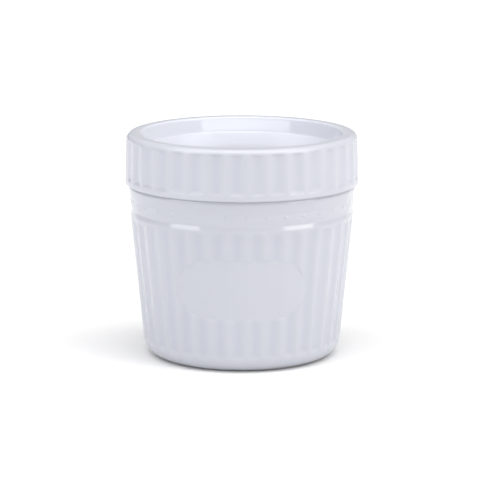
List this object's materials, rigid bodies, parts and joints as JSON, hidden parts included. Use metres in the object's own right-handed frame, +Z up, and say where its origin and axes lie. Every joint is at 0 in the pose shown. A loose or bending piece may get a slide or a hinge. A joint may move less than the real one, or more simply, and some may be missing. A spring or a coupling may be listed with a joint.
{
  "type": "ceramic crock fermenter",
  "caption": "Small white glazed crock for fermenting vegetables: fluted tapering pot with a blank oval label panel, dished fluted screw lid, seal and half-moon weights.",
  "frame": {"origin": "centre of the foot's resting face", "axes": "+Z up along the crock's axis, the blank label panel faces -Y, +X is to the right of someone who faces the panel"},
  "size_m": [0.15, 0.15, 0.144],
  "materials": {
    "crock_glaze": "glossy cool white glaze, unglazed foot ring",
    "lid_glaze": "glossy cool white glaze",
    "liner_plastic": "satin moulded natural polypropylene",
    "seal_silicone": "translucent milky silicone, soft sheen",
    "weight_glaze": "glossy white glaze, slightly thinner on the rounded edges"
  },
  "bodies": {
    "crock": {"crock_body": "crock_glaze"},
    "lid_seal": {"lid_gasket": "seal_silicone"},
    "lid": {"lid_shell": "lid_glaze", "lid_liner": "liner_plastic"},
    "left_weight": {"weight_left": "weight_glaze"},
    "right_weight": {"weight_right": "weight_glaze"}
  },
  "joints": [
    {"name": "lid_rise", "type": "slide", "parent": "crock", "child": "lid_seal", "axis": [0, 0, 1], "range_m": [0, 0.072]},
    {"name": "lid_turn", "type": "hinge", "parent": "lid_seal", "child": "lid", "pos_m": [0, 0, 0.1275], "axis": [0, 0, 1], "range_deg": [0, 720]},
    {"name": "left_weight_lift", "type": "slide", "parent": "crock", "child": "left_weight", "axis": [0, 0, 1], "range_m": [0, 0.1]},
    {"name": "right_weight_lift", "type": "slide", "parent": "crock", "child": "right_weight", "axis": [0, 0, 1], "range_m": [0, 0.1]}
  ],
  "couplings": [
    {"joint": "lid_rise", "follows": "lid_turn", "m_per_rad": 0.0057295}
  ]
}
